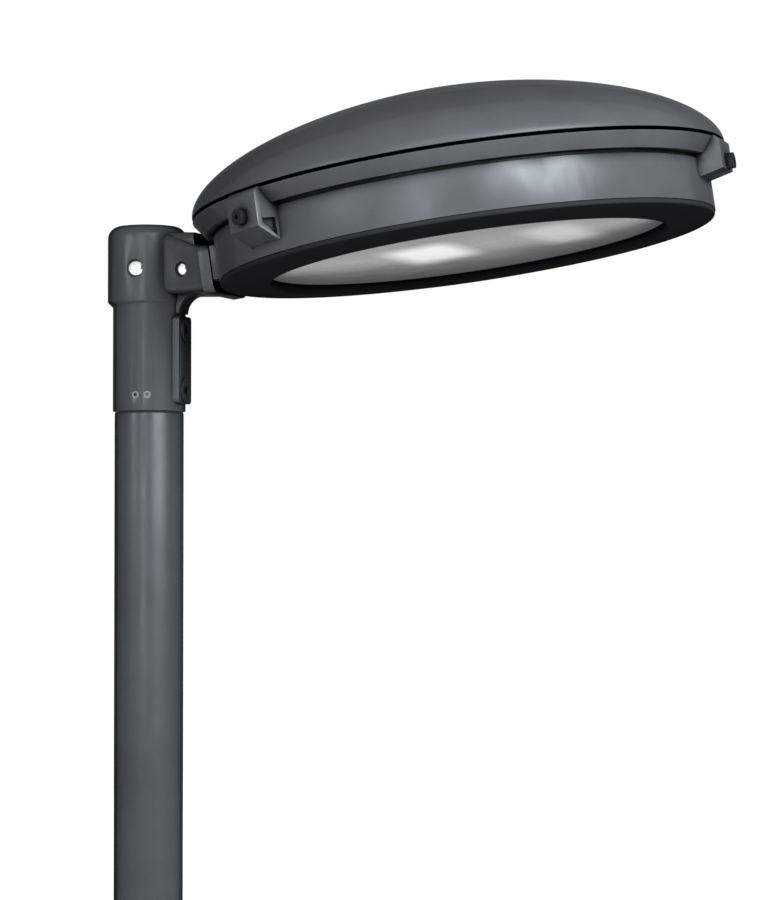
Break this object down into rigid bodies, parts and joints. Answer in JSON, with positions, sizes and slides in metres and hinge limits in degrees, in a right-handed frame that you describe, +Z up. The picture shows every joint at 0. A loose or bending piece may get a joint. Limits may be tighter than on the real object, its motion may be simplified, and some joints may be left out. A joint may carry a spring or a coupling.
{
  "type": "led post top light",
  "caption": "Round tilted LED street light head with a domed canopy and flat glass, on a cast neck and sleeve adapter that caps a round steel post.",
  "frame": {"origin": "centre of the post's lower cut end", "axes": "+Z up along the post, +X from the post towards the head"},
  "size_m": [0.7043, 0.576, 0.9436],
  "materials": {
    "post": "satin dark graphite powder coat on a steel tube",
    "post_seal": "matt black rubber ring",
    "post_adapter": "satin dark graphite powder coat on a casting",
    "hub_screw": "bright stainless steel",
    "neck_screw": "bright stainless steel",
    "sleeve_set_screws": "stainless steel",
    "clamp_screws": "blackened steel",
    "neck_gasket": "matt black rubber",
    "neck_bolts": "stainless steel",
    "housing": "satin dark graphite powder coat on a casting",
    "canopy": "satin dark graphite powder coat on a spun aluminium shell",
    "canopy_gasket": "matt black rubber",
    "canopy_screws": "blackened steel",
    "glass_frame": "satin dark graphite powder coat on a casting",
    "front_glass": "lightly frosted toughened glass",
    "glass_gasket": "pale silicone",
    "frame_screws": "stainless steel",
    "heat_sink": "bare cast aluminium",
    "heat_sink_screws": "stainless steel",
    "reflector_plate": "white powder coat on sheet",
    "reflector_screws": "stainless steel",
    "led_board_a": "white circuit board",
    "led_board_b": "white circuit board",
    "led_chips_a": "yellow LED phosphor",
    "led_chips_b": "yellow LED phosphor",
    "lens_plate_a": "clear moulded lenses",
    "lens_plate_b": "clear moulded lenses",
    "lens_screws": "stainless steel",
    "tray_standoffs": "plated steel",
    "gear_tray": "galvanised sheet",
    "tray_screws": "stainless steel",
    "driver": "white plastic case",
    "driver_screws": "stainless steel",
    "surge_protector": "red plastic case",
    "terminal_block": "white plastic",
    "cable_gland": "black plastic"
  },
  "bodies": {
    "root": {"post": "post", "post_seal": "post_seal", "post_adapter": "post_adapter", "hub_screw": "hub_screw", "neck_screw": "neck_screw", "sleeve_set_screws": "sleeve_set_screws", "clamp_screws": "clamp_screws", "neck_gasket": "neck_gasket", "neck_bolts": "neck_bolts", "housing": "housing", "canopy": "canopy", "canopy_gasket": "canopy_gasket", "canopy_screws": "canopy_screws", "glass_frame": "glass_frame", "front_glass": "front_glass", "glass_gasket": "glass_gasket", "frame_screws": "frame_screws", "heat_sink": "heat_sink", "heat_sink_screws": "heat_sink_screws", "reflector_plate": "reflector_plate", "reflector_screws": "reflector_screws", "led_board_a": "led_board_a", "led_board_b": "led_board_b", "led_chips_a": "led_chips_a", "led_chips_b": "led_chips_b", "lens_plate_a": "lens_plate_a", "lens_plate_b": "lens_plate_b", "lens_screws": "lens_screws", "tray_standoffs": "tray_standoffs", "gear_tray": "gear_tray", "tray_screws": "tray_screws", "driver": "driver", "driver_screws": "driver_screws", "surge_protector": "surge_protector", "terminal_block": "terminal_block", "cable_gland": "cable_gland"}
  },
  "joints": []
}
